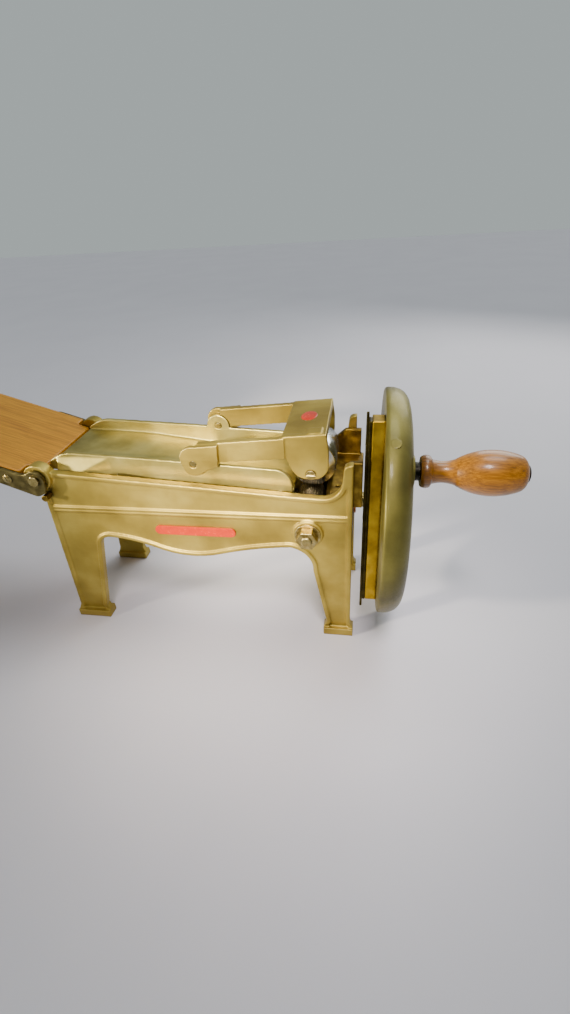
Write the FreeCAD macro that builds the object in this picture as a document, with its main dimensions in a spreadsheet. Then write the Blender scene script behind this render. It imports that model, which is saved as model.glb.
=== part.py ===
import FreeCAD, Part
import math
import os
import re
import Sketcher

# Hand-cranked rotary slicer: two cast side frames carry a sloping feed trough, a fluted feed roller
# driven by a worm, a hinged press arm with a plain roller, and a flywheel with the knife on its face.
# +X runs along the machine towards the crank, +Y away from the near side frame, +Z up.
# The origin is on the table, under the middle of the whole machine.

doc = FreeCAD.newDocument("rotary_slicer")
Vec = FreeCAD.Vector

# ---------------------------------------------------------------- driving dimensions, in mm
SIZES = [
    ("frame_face", 51),          # outer face of a side frame, from the middle plane
    ("frame_inside", 44),        # inner face of a side frame
    ("frame_end", 187),          # crank end of the side frames
    ("rim_width", 4),            # raised rim around the side frame
    ("recess_deep", 1.8),
    ("bead_raise", 1.5),
    ("bead_low", 131.4),
    ("bead_high", 134.9),
    ("bead_tall", 1.9),
    ("foot_face", 54),
    ("foot_inside", 41),
    ("foot_tall", 8),
    ("lug_radius", 12),          # rounded frame end that carries the board hinge
    ("lug_face", 54.6),
    ("hinge_x", -83),
    ("hinge_z", 168),
    ("hinge_pin_radius", 3),
    ("board_tilt", 18.5),        # degrees
    ("board_half", 55),
    ("nose_half", 43.5),         # narrower board end that reaches in between the lugs
    ("board_thick", 15),
    ("board_above", 3),          # board face above the hinge axis
    ("board_gap", 15),           # board shoulders from the hinge axis
    ("nose_gap", 2.5),
    ("strap_thick", 3.6),
    ("strap_reach", 47),
    ("trough_half", 38),
    ("trough_wall", 4),
    ("floor_thick", 5),
    ("floor_start_x", -80),
    ("floor_start_z", 173.4),
    ("floor_bend_x", -10),       # the floor is nearly level up to here
    ("floor_bend_z", 170.4),
    ("floor_end_x", 136.6),
    ("floor_end_z", 150),
    ("skirt_end_x", -17),
    ("arm_x", 56),               # press arm pivot
    ("arm_z", 179),
    ("arm_pin_radius", 3),
    ("ear_radius", 10.8),
    ("knuckle_inside", 38.4),
    ("knuckle_face", 43.2),
    ("bar_inside", 33),
    ("bar_face", 38),
    ("press_x", 152.5),          # press roller axis
    ("press_z", 169.5),
    ("press_radius", 19.5),
    ("press_half", 21),
    ("press_pin_radius", 4),
    ("feed_x", 150),             # feed roller axis
    ("feed_z", 137),
    ("feed_radius", 11.5),
    ("feed_inside", 8),
    ("feed_face", 33),
    ("feed_axle_radius", 4),
    ("flute_count", 32),
    ("flute_deep", 0.9),
    ("shaft_z", 123),
    ("shaft_radius", 7),
    ("spindle_radius", 4),       # thinner end of the shaft, under the worm
    ("running_gap", 0.06),
    ("wheel_teeth", 14),
    ("gear_module", 1.1),
    ("gear_gap", 0.22),
    ("stud_z", 119),
    ("stud_radius", 4.3),
    ("boss_radius", 13),
    ("boss_face", 52.2),
    ("plate_x", 176),            # bearing plate
    ("cheek_end", 194.2),        # last face of the mouth, just clear of the knife
    ("knife_x", 195.3),
    ("knife_thick", 2.2),
    ("clamp_thick", 2.4),
    ("disc_x", 210),
    ("disc_radius", 100),
    ("disc_end", 231),
    ("web_thick", 7),
    ("hub_radius", 17),
    ("hub_start", 205),
    ("hub_end", 226),            # the hub and its nut sit inside the dished face
    ("crank_y", -50),
    ("crank_z", 182),
    ("crank_pin_radius", 3.5),
    ("grip_start", 236),
    ("grip_end", 310.5),
    ("grip_gap", 0.08),
    ("cap_thick", 2.4),
]
sheet = doc.addObject("Spreadsheet::Sheet", "sizes")
for row, (alias, number) in enumerate(SIZES, start=1):
    sheet.set("A%d" % row, alias)
    sheet.set("B%d" % row, str(number))
    sheet.setAlias("B%d" % row, alias)
doc.recompute()
D = {alias: float(number) for alias, number in SIZES}
ALIAS = re.compile(r"\b(" + "|".join(D) + r")\b")


def bind(thing, prop, text):
    """Tie a property to a formula of the sheet's sizes."""
    thing.setExpression(prop, ALIAS.sub(r"sizes.\1", str(text)))


def place(thing, x, y, z):
    for axis, text in zip("xyz", (x, y, z)):
        bind(thing, "Placement.Base." + axis, text)
    return thing


# ---------------------------------------------------------------- makers
TURN = {
    "x": FreeCAD.Rotation(Vec(0, 0, 1), Vec(1, 0, 0)),
    "y": FreeCAD.Rotation(Vec(0, 0, 1), Vec(0, 1, 0)),
    "z": FreeCAD.Rotation(),
}
SIDE_VIEW = FreeCAD.Rotation(Vec(1, 0, 0), 90)
END_VIEW = FreeCAD.Rotation(Vec(0, 1, 0), Vec(0, 0, 1), Vec(1, 0, 0), "XYZ")


def box(name, x, y, z):
    """A block between two formulas along each axis."""
    block = doc.addObject("Part::Box", name)
    for prop, (low, high) in zip(("Length", "Width", "Height"), (x, y, z)):
        bind(block, prop, "(%s) - (%s)" % (high, low))
    return place(block, x[0], y[0], z[0])


def rod(name, axis, radius, start, end, centre):
    """A round bar along an axis; centre gives its other two coordinates in x, y, z order."""
    bar = doc.addObject("Part::Cylinder", name)
    bar.Placement = FreeCAD.Placement(Vec(), TURN[axis])
    bind(bar, "Radius", radius)
    bind(bar, "Height", "(%s) - (%s)" % (end, start))
    first, second = centre
    spots = {"x": (start, first, second), "y": (first, start, second), "z": (first, second, start)}
    return place(bar, *spots[axis])


def hexagon(name, width, start, end, x, z):
    """A hexagonal nut blank along Y, width across its corners."""
    nut = doc.addObject("Part::Prism", name)
    nut.Polygon = 6
    nut.Placement = FreeCAD.Placement(Vec(), TURN["y"])
    bind(nut, "Circumradius", "(%s) / 2" % width)
    bind(nut, "Height", "(%s) - (%s)" % (end, start))
    return place(nut, x, start, z)


def curves_of(points):
    """Lines and arcs around a closed outline; ("via", u, v) between two points makes an arc."""
    curves = []
    corners = []
    last = None
    via = None
    for point in points + [points[0]]:
        if point[0] == "via":
            via = Vec(point[1], point[2], 0)
            continue
        here = Vec(point[0], point[1], 0)
        if last is not None:
            curves.append(Part.LineSegment(last, here) if via is None else Part.Arc(last, via, here))
            corners.append(here)
        last = here
        via = None
    return curves, corners


def outline(name, points, turn, offset):
    """A closed sketch whose neighbours are tied end to end."""
    sketch = doc.addObject("Sketcher::SketchObject", name)
    sketch.Placement = FreeCAD.Placement(offset, turn)
    curves, corners = curves_of(points)
    sketch.addGeometry(curves, False)
    links = []
    for index, corner in enumerate(corners):
        following = (index + 1) % len(curves)
        tail = 1 if sketch.getPoint(index, 1).distanceToPoint(corner) < 1e-6 else 2
        head = 1 if sketch.getPoint(following, 1).distanceToPoint(corner) < 1e-6 else 2
        links.append(Sketcher.Constraint("Coincident", index, tail, following, head))
    sketch.addConstraint(links)
    return sketch


def extrude(name, sketch, direction, length):
    solid = doc.addObject("Part::Extrusion", name)
    solid.Base = sketch
    solid.DirMode = "Custom"
    solid.Dir = direction
    solid.Solid = True
    bind(solid, "LengthFwd", length)
    return solid


def side_profile(name, points, low, high):
    """A side-view outline (x, z) made solid between two formulas in y."""
    sketch = outline(name + "_outline", points, SIDE_VIEW, Vec())
    bind(sketch, "Placement.Base.y", low)
    return extrude(name, sketch, Vec(0, 1, 0), "(%s) - (%s)" % (high, low))


def end_profile(name, points, low, high):
    """An end-view outline (y, z) made solid between two formulas in x."""
    sketch = outline(name + "_outline", points, END_VIEW, Vec())
    bind(sketch, "Placement.Base.x", low)
    return extrude(name, sketch, Vec(1, 0, 0), "(%s) - (%s)" % (high, low))


def lathe(name, points, y, z):
    """An outline (x, radius) turned about a line along X."""
    sketch = outline(name + "_outline", points, SIDE_VIEW, Vec(0, y, z))
    turned = doc.addObject("Part::Revolution", name)
    turned.Source = sketch
    turned.Axis = Vec(1, 0, 0)
    turned.Base = Vec(0, y, z)
    turned.Angle = 360
    turned.Solid = True
    return turned


def fuse(name, *pieces):
    joined = doc.addObject("Part::MultiFuse", name)
    joined.Shapes = list(pieces)
    joined.Refine = True
    return joined


def cut(name, base, *tools):
    tool = tools[0] if len(tools) == 1 else fuse(name + "_tools", *tools)
    left = doc.addObject("Part::Cut", name)
    left.Base = base
    left.Tool = tool
    return left


def across(name, piece):
    """The same piece on the other side of the middle plane."""
    other = doc.addObject("Part::Mirroring", name)
    other.Source = piece
    other.Normal = Vec(0, 1, 0)
    return other


def group(name, *pieces):
    several = doc.addObject("Part::Compound", name)
    several.Links = list(pieces)
    return several


NODES = []


def node(label, thing):
    """Name a finished sub-part and list it for writing."""
    thing.Label = label
    NODES.append(thing)
    return thing


# ---------------------------------------------------------------- side frames
def floor_z(x):
    """Height of the straight part of the trough floor at x."""
    fall = (D["floor_bend_z"] - D["floor_end_z"]) / (D["floor_end_x"] - D["floor_bend_x"])
    return D["floor_bend_z"] - fall * (x - D["floor_bend_x"])


def side_frame():
    end = D["frame_end"]
    points = [
        (-96, 0), (-96, 8), (-93.5, 14), (-85.5, 148), (-83, 166), ("via", -79, 171.5), (-72, 171.8),
        (49, 162.8), (137, 155.8), (162, 154.3), ("via", 173.6, 158.6), (178.6, 170), (179.8, 181.5),
        ("via", 181.8, 184.6), (185, 185.5), (end, 185.5), (end, 14), (end + 3, 8), (end + 3, 0),
        (162, 0), (162, 8), (165, 14), (153.5, 78), ("via", 147.5, 95.5), (134, 103),
        ("via", 101, 98.6), (70, 91.2), ("via", 38, 87.6), (9, 94.8), ("via", -12, 101.5),
        (-33, 104.6), ("via", -41.5, 102.6), (-46.5, 95.5), (-63.5, 14), (-61, 8), (-61, 0),
    ]
    plate = side_profile("frame_plate", points, "-frame_face", "-frame_inside")
    edges = [curve.toShape() for curve in curves_of(points)[0]]
    inner = Part.Face(Part.Wire(edges)).makeOffset2D(-D["rim_width"], join=2)
    inner.Placement = FreeCAD.Placement(Vec(0, -D["frame_face"], 0), SIDE_VIEW)
    hollow = doc.addObject("Part::Feature", "frame_recess")
    hollow.Shape = inner.extrude(Vec(0, D["recess_deep"], 0))
    shell = cut("frame_shell", plate, hollow)
    bead_face = "-frame_face + recess_deep - bead_raise"
    bead_back = "-frame_face + recess_deep + 1"
    beads = []
    for name in ("bead_low", "bead_high"):
        beads.append(box(name, ("-84", "frame_end - 2"), (bead_face, bead_back), (name, name + " + bead_tall")))
    lug = rod("frame_lug", "y", "lug_radius", "-lug_face", "-frame_inside", ("hinge_x", "hinge_z"))
    boss = rod("frame_boss", "y", "boss_radius", "-boss_face", "-frame_inside", ("feed_x", "stud_z"))
    feet = [
        box("foot_board_end", ("-96", "-61"), ("-foot_face", "-foot_inside"), ("0", "foot_tall")),
        box("foot_crank_end", ("162", "frame_end + 3"), ("-foot_face", "-foot_inside"), ("0", "foot_tall")),
    ]
    solid = fuse("frame_solid", shell, lug, boss, *beads, *feet)
    holes = [
        rod("lug_hole", "y", "hinge_pin_radius", "-60", "-40", ("hinge_x", "hinge_z")),
        rod("stud_hole", "y", "stud_radius", "-60", "-40", ("feed_x", "stud_z")),
    ]
    return cut("side_frame_near", solid, *holes)


frame_near = node("side_frame_near", side_frame())
node("side_frame_far", across("side_frame_far", frame_near))

# Plain enamelled bar cast on each side frame.
BAR_ENDS = (17, 82)
BAR_MID = 116
BAR_HALF = 4.5
bar_points = [
    (BAR_ENDS[0], BAR_MID - BAR_HALF), (BAR_ENDS[1], BAR_MID - BAR_HALF),
    ("via", BAR_ENDS[1] + BAR_HALF, BAR_MID), (BAR_ENDS[1], BAR_MID + BAR_HALF),
    (BAR_ENDS[0], BAR_MID + BAR_HALF), ("via", BAR_ENDS[0] - BAR_HALF, BAR_MID),
]
bar_near = node("enamel_bar_near", side_profile(
    "enamel_bar_near", bar_points, "-frame_face + recess_deep - 2", "-frame_face + recess_deep"))
node("enamel_bar_far", across("enamel_bar_far", bar_near))


# ---------------------------------------------------------------- feed trough
SKIRT_RUN_OUT = 11.5     # degrees; the skirts fade into the walls


def trough():
    start = D["floor_start_x"]
    start_z = D["floor_start_z"]
    bend = D["floor_bend_x"]
    end = D["floor_end_x"]
    thick = D["floor_thick"]
    arm_x = D["arm_x"]
    level = ((start + bend) / 2, start_z - 0.9)
    floor_points = [
        (start + 1.2, start_z), ("via", level[0], level[1]), (bend, floor_z(bend)), (end, floor_z(end)),
        (end, floor_z(end) - thick), (bend, floor_z(bend) - thick), ("via", level[0], level[1] - thick),
        (start + 1.2, start_z - thick), ("via", start, start_z - thick / 2),
    ]
    wall_points = [
        (start + 2, start_z - thick), (start + 2, 176), ("via", start + 12.4, 182.2), (start + 24, 184.4),
        (32, 179.4), (arm_x, 177.6), (112, 173.9), (121, 173.3), ("via", 132.5, 168.6), (end, 156),
        (end, floor_z(end) - thick), (bend, floor_z(bend) - thick),
    ]
    floor = side_profile("trough_floor", floor_points, "-trough_half", "trough_half")
    pieces = [floor]
    wall = side_profile("trough_wall_near", wall_points, "-trough_half", "-trough_half + trough_wall")
    ear = rod("trough_ear_near", "y", "ear_radius", "-trough_half", "-trough_half + trough_wall", ("arm_x", "arm_z"))
    skirt_points = [
        (-D["trough_half"] + 1, 180.8), (-D["trough_half"], 181), (-D["frame_inside"], 167),
        (-D["frame_inside"], 158), (-D["trough_half"] + 1, 161),
    ]
    skirt_bar = end_profile("trough_skirt_bar", skirt_points, "floor_start_x + 10", "skirt_end_x")
    slope = box("trough_skirt_slope", ("0", "60"), ("-15", "0"), ("150", "190"))
    run_out = math.radians(SKIRT_RUN_OUT)
    corner = Vec(D["skirt_end_x"] - 34 + 15 * math.sin(run_out), -D["frame_inside"] - 15 * math.cos(run_out), 150)
    for axis in "xyz":
        slope.setExpression("Placement.Base." + axis, None)
    slope.Placement = FreeCAD.Placement(corner, FreeCAD.Rotation(Vec(0, 0, 1), SKIRT_RUN_OUT))
    skirt = cut("trough_skirt_near", skirt_bar, slope)
    foot = box("trough_foot_near", ("108", "128"), ("-frame_inside", "-trough_half + 1"), ("145", "152.4"))
    side = fuse("trough_side_near", wall, ear, skirt, foot)
    solid = fuse("trough_solid", floor, side, across("trough_side_far", side))
    hole = rod("ear_hole", "y", "arm_pin_radius", "-60", "60", ("arm_x", "arm_z"))
    return cut("feed_trough", solid, hole)


node("feed_trough", trough())


# ---------------------------------------------------------------- gear cradle, bearing plate and mouth
def gear_cradle():
    base = box("cradle_base", ("122", "172"), ("-frame_inside", "frame_inside"), ("98", "104"))
    upright = box("cradle_upright", ("122", "130"), ("-13", "13"), ("100", "shaft_z + 12"))
    cheeks = []
    for side, (low, high) in {"near": ("-frame_inside", "-37"), "far": ("37", "frame_inside")}.items():
        cheeks.append(box("cradle_cheek_" + side, ("138", "162"), (low, high), ("100", "feed_z + 9")))
    solid = fuse("cradle_solid", base, upright, *cheeks)
    holes = [
        rod("cradle_bush_hole", "x", "spindle_radius + 3", "100", "140", ("0", "shaft_z")),
        rod("cradle_axle_hole", "y", "feed_axle_radius + running_gap", "-60", "60", ("feed_x", "feed_z")),
        rod("cradle_stud_hole_near", "y", "stud_radius", "-60", "-30", ("feed_x", "stud_z")),
        rod("cradle_stud_hole_far", "y", "stud_radius", "30", "60", ("feed_x", "stud_z")),
    ]
    return cut("gear_cradle", solid, *holes)


node("gear_cradle", gear_cradle())

plate = box("bearing_slab", ("plate_x", "frame_end"), ("-frame_inside", "frame_inside"), ("99", "143"))
plate_boss = rod("bearing_boss", "x", "16", "plate_x - 4", "frame_end", ("0", "shaft_z"))
plate_hole = rod("bearing_hole", "x", "shaft_radius + 3", "150", "200", ("0", "shaft_z"))
node("bearing_plate", cut("bearing_plate", fuse("bearing_solid", plate, plate_boss), plate_hole))

near_cheek = [(181, 143), (D["cheek_end"], 143), (D["cheek_end"], 184), (184, 184), (181, 178)]
far_cheek = [(168, 143), (191.5, 143), (191.5, 174.4), (177, 174.4), (168, 166.5)]
mouth_floor = [(164, 143), (D["cheek_end"], 143), (D["cheek_end"], 148.4), (168, 149.6), (164, 147.6)]
mouth_solid = fuse(
    "mouth_solid",
    side_profile("mouth_floor", mouth_floor, "-frame_inside", "frame_inside"),
    side_profile("mouth_cheek_near", near_cheek, "-frame_inside", "-39"),
    side_profile("mouth_cheek_far", far_cheek, "39", "frame_inside"),
)
mouth_drain = rod("mouth_drain", "z", "1.6", "140", "152", ("173", "-21"))
node("mouth_plate", cut("mouth_plate", mouth_solid, mouth_drain))


def bush(name, bore, wall, start, end, collar_start, collar_end):
    """A bronze sleeve along the shaft with a collar at one end."""
    sleeve = rod(name + "_sleeve", "x", "%s + %s" % (bore, wall), start, end, ("0", "shaft_z"))
    collar = rod(name + "_collar", "x", "%s + %s + 2.5" % (bore, wall), collar_start, collar_end, ("0", "shaft_z"))
    hole = rod(name + "_bore", "x", bore + " + running_gap", "100", "230", ("0", "shaft_z"))
    return cut(name, fuse(name + "_solid", sleeve, collar), hole)


node("main_bush", bush("main_bush", "shaft_radius", "3", "plate_x - 4", "frame_end + 2", "frame_end", "frame_end + 2"))
node("inner_bush", bush("inner_bush", "spindle_radius", "3", "120", "130", "120", "122"))

# ---------------------------------------------------------------- studs, washers and nuts of the cradle
stud = rod("stud_near", "y", "stud_radius", "-boss_face - 11.2", "-37", ("feed_x", "stud_z"))
node("cradle_studs", group("cradle_studs", stud, across("stud_far", stud)))
washer = cut(
    "washer_near",
    rod("washer_disc", "y", "11", "-boss_face - 1.5", "-boss_face", ("feed_x", "stud_z")),
    rod("washer_hole", "y", "stud_radius", "-70", "-40", ("feed_x", "stud_z")),
)
node("stud_washers", group("stud_washers", washer, across("washer_far", washer)))
nut = cut(
    "nut_near",
    hexagon("nut_blank", "18.5", "-boss_face - 9.5", "-boss_face - 1.5", "feed_x", "stud_z"),
    rod("nut_hole", "y", "stud_radius", "-70", "-40", ("feed_x", "stud_z")),
)
node("stud_nuts", group("stud_nuts", nut, across("nut_far", nut)))

# ---------------------------------------------------------------- board, straps and hinge
TILT = math.radians(D["board_tilt"])
ALONG = Vec(-math.cos(TILT), 0, math.sin(TILT))
NORMAL = Vec(math.sin(TILT), 0, math.cos(TILT))
HINGE = Vec(D["hinge_x"], 0, D["hinge_z"])
MACHINE_END = D["grip_end"] + D["cap_thick"]


def on_board(along, above):
    """Side-view point (x, z) of a place on the tilted board, measured from the hinge axis."""
    spot = HINGE + ALONG * along + NORMAL * above
    return (spot.x, spot.z)


board_low = D["board_above"] - D["board_thick"]
board_reach = (MACHINE_END + D["hinge_x"] + board_low * math.sin(TILT)) / math.cos(TILT)
board_points = [
    on_board(D["board_gap"], D["board_above"]), on_board(board_reach - 3, D["board_above"]),
    on_board(board_reach, D["board_above"] - 3), on_board(board_reach, board_low),
    on_board(D["board_gap"], board_low),
]
nose_points = [
    on_board(D["nose_gap"], D["board_above"]), on_board(D["board_gap"] + 5, D["board_above"]),
    on_board(D["board_gap"] + 5, board_low), on_board(D["nose_gap"] + 3, board_low),
    on_board(D["nose_gap"], board_low + 3),
]
plank = side_profile("board_plank", board_points, "-board_half", "board_half")
nose = side_profile("board_nose", nose_points, "-nose_half", "nose_half")
node("board", fuse("board", plank, nose))

reach = D["strap_reach"]
EYE = 8.6
strap_points = [
    on_board(-EYE, 0), ("via",) + on_board(0, EYE), on_board(7.4, 4.4), ("via",) + on_board(11, 2.2),
    on_board(17, 1.6), on_board(reach - 6, 1.6), ("via",) + on_board(reach, -6),
    on_board(reach - 6, -13.2), on_board(-2, -16), ("via",) + on_board(-6.3, -13.4),
]
strap = side_profile("strap_near_plate", strap_points, "-board_half - strap_thick", "-board_half")
SCREW_SPOTS = [on_board(24, -6.5), on_board(37.5, -6.5)]
screws = []
strap_holes = [rod("strap_eye_hole", "y", "hinge_pin_radius + running_gap", "-70", "-50", ("hinge_x", "hinge_z"))]
for number, (x, z) in enumerate(SCREW_SPOTS, start=1):
    strap_holes.append(rod("strap_hole_%d" % number, "y", "2.4", "-70", "-50", (str(x), str(z))))
    shank = rod("screw_shank_%d" % number, "y", "2.4", "-board_half - strap_thick", "-board_half", (str(x), str(z)))
    head = rod("screw_head_%d" % number, "y", "4", "-board_half - strap_thick - 1.3",
               "-board_half - strap_thick", (str(x), str(z)))
    screws.append(fuse("strap_screw_%d" % number, shank, head))
strap_near = node("board_strap_near", cut("board_strap_near", strap, *strap_holes))
node("board_strap_far", across("board_strap_far", strap_near))
far_screws = [across("strap_screw_far_%d" % (number + 1), screw) for number, screw in enumerate(screws)]
node("strap_screws", group("strap_screws", *screws, *far_screws))

hinge_pin = fuse(
    "hinge_pin_near",
    rod("hinge_pin_body", "y", "hinge_pin_radius", "-board_half - strap_thick - 0.3",
        "-frame_inside", ("hinge_x", "hinge_z")),
    rod("hinge_pin_head", "y", "4.4", "-board_half - strap_thick - 1.8",
        "-board_half - strap_thick - 0.3", ("hinge_x", "hinge_z")),
)
node("hinge_pins", group("hinge_pins", hinge_pin, across("hinge_pin_far", hinge_pin)))

# Pegs under the toes of the straps, which hold the board at its working tilt.
PEG_RADIUS = 3
peg_x, peg_z = on_board(-8.65, -16.45)
peg_middle = (str(peg_x), str(peg_z))
peg = rod("stop_peg_near", "y", PEG_RADIUS, "-board_half - strap_thick + 0.6", "-frame_face", peg_middle)
node("stop_pegs", group("stop_pegs", peg, across("stop_peg_far", peg)))


# ---------------------------------------------------------------- press arm and its roller
def press_arm():
    arm_x = D["arm_x"]
    arm_z = D["arm_z"]
    press_x = D["press_x"]
    lug_points = [
        (arm_x - 7, arm_z - 8), ("via", arm_x + 1.2, arm_z - 10.5), (arm_x + 9, arm_z - 6.4),
        (arm_x + 21, arm_z - 2), (arm_x + 22.5, arm_z + 17.5), (arm_x + 2, arm_z + 15.6),
        ("via", arm_x - 8.2, arm_z + 11.8), (arm_x - 10.6, arm_z + 2),
    ]
    bar_points = [
        (arm_x + 4, arm_z - 1), (132, 183.6), (132, 201.4), (arm_x + 21, 197), (arm_x + 4, 195.6),
    ]
    side_points = [
        (128, 201), (131.6, 187), (136.6, 174.4), ("via", 142, 167.6), (press_x, 165.2),
        ("via", 163.2, 168.6), (167, 178), (167.2, 190), (165.2, 205.2), (131, 202.6),
    ]
    top_points = [(129, 196.6), (165.9, 199.8), (165.3, 205.3), (130, 202.2)]
    lug = side_profile("arm_lug", lug_points, "-knuckle_face", "-knuckle_inside")
    link = side_profile("arm_link", bar_points, "-knuckle_inside - 0.6", "-bar_inside")
    clear = rod("arm_ear_clear", "y", "ear_radius + 1.2", "-knuckle_inside - 0.02", "-20", ("arm_x", "arm_z"))
    clear_out = rod("arm_link_clear", "y", "ear_radius + 1.2", "-60", "-knuckle_inside - 0.01", ("arm_x", "arm_z"))
    link = cut("arm_link_bar", link, fuse("arm_link_tools", clear, clear_out))
    side = side_profile("arm_side", side_points, "-bar_face", "-bar_inside")
    top = side_profile("arm_top", top_points, "-bar_face", "bar_face")
    half = fuse("arm_half_near", lug, link, side)
    oval = side_profile("arm_top_boss", [(150, 200), (161.5, 200), (161.5, 206), (150, 205)], "-bar_face + 2", "-25")
    solid = fuse("arm_solid", top, half, across("arm_half_far", half), oval)
    holes = [
        rod("arm_pin_hole", "y", "arm_pin_radius + running_gap", "-60", "60", ("arm_x", "arm_z")),
        rod("arm_roller_hole", "y", "press_pin_radius", "-60", "60", ("press_x", "press_z")),
    ]
    return cut("press_arm", solid, *holes)


node("press_arm", press_arm())

enamel = doc.addObject("Part::Ellipsoid", "enamel_oval")
enamel.Radius1 = 0.8
enamel.Radius2 = 6.8
enamel.Radius3 = 9.4
enamel.Angle1 = 0
TOP_SLOPE = math.degrees(math.atan2(205.3 - 202.2, 165.3 - 130))
enamel.Placement = FreeCAD.Placement(Vec(148, 1.5, 203.82), FreeCAD.Rotation(Vec(0, 1, 0), -TOP_SLOPE))
node("enamel_oval", enamel)

pin = rod("roller_pin_body", "y", "press_pin_radius", "-bar_face - 1", "bar_face + 1", ("press_x", "press_z"))
slot = box("roller_pin_slot", ("press_x - 5", "press_x + 5"), ("-bar_face - 2", "-bar_face - 0.2"),
           ("press_z - 0.6", "press_z + 0.6"))
node("roller_pin", cut("roller_pin", pin, slot))

collar = cut(
    "collar_near",
    rod("collar_disc", "y", "7.5", "-bar_inside", "-press_half - 0.3", ("press_x", "press_z")),
    rod("collar_hole", "y", "press_pin_radius", "-60", "0", ("press_x", "press_z")),
)
node("roller_collars", group("roller_collars", collar, across("collar_far", collar)))

node("press_roller", cut(
    "press_roller",
    rod("press_roller_blank", "y", "press_radius", "-press_half", "press_half", ("press_x", "press_z")),
    rod("press_roller_bore", "y", "press_pin_radius + running_gap", "-60", "60", ("press_x", "press_z")),
))

arm_pin = rod("arm_pin_near", "y", "arm_pin_radius", "-knuckle_face + 1", "-bar_inside - 0.5", ("arm_x", "arm_z"))
node("arm_pivot_pins", group("arm_pivot_pins", arm_pin, across("arm_pin_far", arm_pin)))

# ---------------------------------------------------------------- feed roller: axle, fluted sleeves, worm wheel
node("feed_axle", rod("feed_axle", "y", "feed_axle_radius", "-43.6", "43.6", ("feed_x", "feed_z")))


def plane_of(body, role):
    return [feature for feature in body.Origin.OriginFeatures if feature.Role == role][0]


def fluted_sleeve():
    """A steel sleeve with straight flutes, drawn on its end and padded along the axle."""
    body = doc.addObject("PartDesign::Body", "fluted_sleeve")
    ends = body.newObject("Sketcher::SketchObject", "sleeve_end")
    ends.AttachmentSupport = (plane_of(body, "XZ_Plane"), [""])
    ends.MapMode = "FlatFace"
    ends.addGeometry(Part.Circle(Vec(), Vec(0, 0, 1), D["feed_radius"]), False)
    ends.addGeometry(Part.Circle(Vec(), Vec(0, 0, 1), D["feed_axle_radius"]), False)
    for index, text in enumerate(("feed_radius", "feed_axle_radius")):
        ends.addConstraint(Sketcher.Constraint("Coincident", index, 3, -1, 1))
        ends.addConstraint(Sketcher.Constraint("Radius", index, D[text]))
        bind(ends, "Constraints[%d]" % (2 * index + 1), text)
    blank = body.newObject("PartDesign::Pad", "sleeve_pad")
    blank.Profile = ends
    bind(blank, "Length", "feed_face - feed_inside")
    doc.recompute()
    groove = body.newObject("Sketcher::SketchObject", "flute")
    groove.AttachmentSupport = (plane_of(body, "XZ_Plane"), [""])
    groove.MapMode = "FlatFace"
    groove.addGeometry(Part.Circle(Vec(0, D["feed_radius"] + 0.2, 0), Vec(0, 0, 1), D["flute_deep"]), False)
    pocket = body.newObject("PartDesign::Pocket", "flute_cut")
    pocket.Profile = groove
    pocket.Type = 1
    pocket.Reversed = True
    doc.recompute()
    pattern = body.newObject("PartDesign::PolarPattern", "flutes")
    pattern.Originals = [pocket]
    pattern.Axis = (plane_of(body, "Y_Axis"), [""])
    pattern.Angle = 360
    bind(pattern, "Occurrences", "flute_count")
    body.Tip = pattern
    doc.recompute()
    return place(body, "feed_x", "-feed_inside", "feed_z")


sleeve_near = node("feed_sleeve_near", fluted_sleeve())
node("feed_sleeve_far", across("feed_sleeve_far", sleeve_near))

PITCH_RADIUS = D["gear_module"] * D["wheel_teeth"] / 2
CENTRES = D["feed_z"] - D["shaft_z"]
WORM_RADIUS = CENTRES - PITCH_RADIUS
LEAD = math.pi * D["gear_module"]
ADDENDUM = D["gear_module"]
WORM_ROOT = WORM_RADIUS - 1.2 * ADDENDUM


def worm_wheel():
    """Bronze wheel whose teeth stand between the turns of the worm."""
    count = int(D["wheel_teeth"])
    tip = PITCH_RADIUS + ADDENDUM - 0.1
    root = PITCH_RADIUS - 1.2 * ADDENDUM
    foot = LEAD / 4 - D["gear_gap"] + 0.35
    crest = LEAD / 4 - D["gear_gap"] - 0.35
    hub = rod("wheel_hub", "y", "5.6", "-feed_inside", "feed_inside", ("feed_x", "feed_z"))
    blank = rod("wheel_blank", "y", root, "-4", "4", ("feed_x", "feed_z"))
    teeth = []
    for number in range(count):
        turn = 2 * math.pi * number / count
        out = Vec(math.sin(turn), -math.cos(turn), 0)
        side = Vec(math.cos(turn), math.sin(turn), 0)
        middle = Vec(D["feed_x"], D["feed_z"], 0)
        corners = [
            middle + out * (root - 0.5) - side * foot, middle + out * tip - side * crest,
            middle + out * tip + side * crest, middle + out * (root - 0.5) + side * foot,
        ]
        teeth.append(side_profile("wheel_tooth_%d" % number, [(c.x, c.y) for c in corners], "-3", "3"))
    solid = fuse("wheel_solid", hub, blank, *teeth)
    return cut("worm_wheel", solid, rod("wheel_bore", "y", "feed_axle_radius", "-20", "20", ("feed_x", "feed_z")))


node("worm_wheel", worm_wheel())

# ---------------------------------------------------------------- shaft, worm, flywheel
shaft_z = D["shaft_z"]
thin = D["spindle_radius"]
thick = D["shaft_radius"]
shaft_points = [
    (119, 0), (119, thin - 0.6), (119.6, thin), (170.5, thin), (170.5, thick), (D["hub_end"] + 1.5, thick),
    (D["hub_end"] + 1.5, 5), (D["hub_end"] + 10, 5), (D["hub_end"] + 11, 4), (D["hub_end"] + 11, 0),
]
node("main_shaft", lathe("main_shaft", shaft_points, 0, shaft_z))


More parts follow.
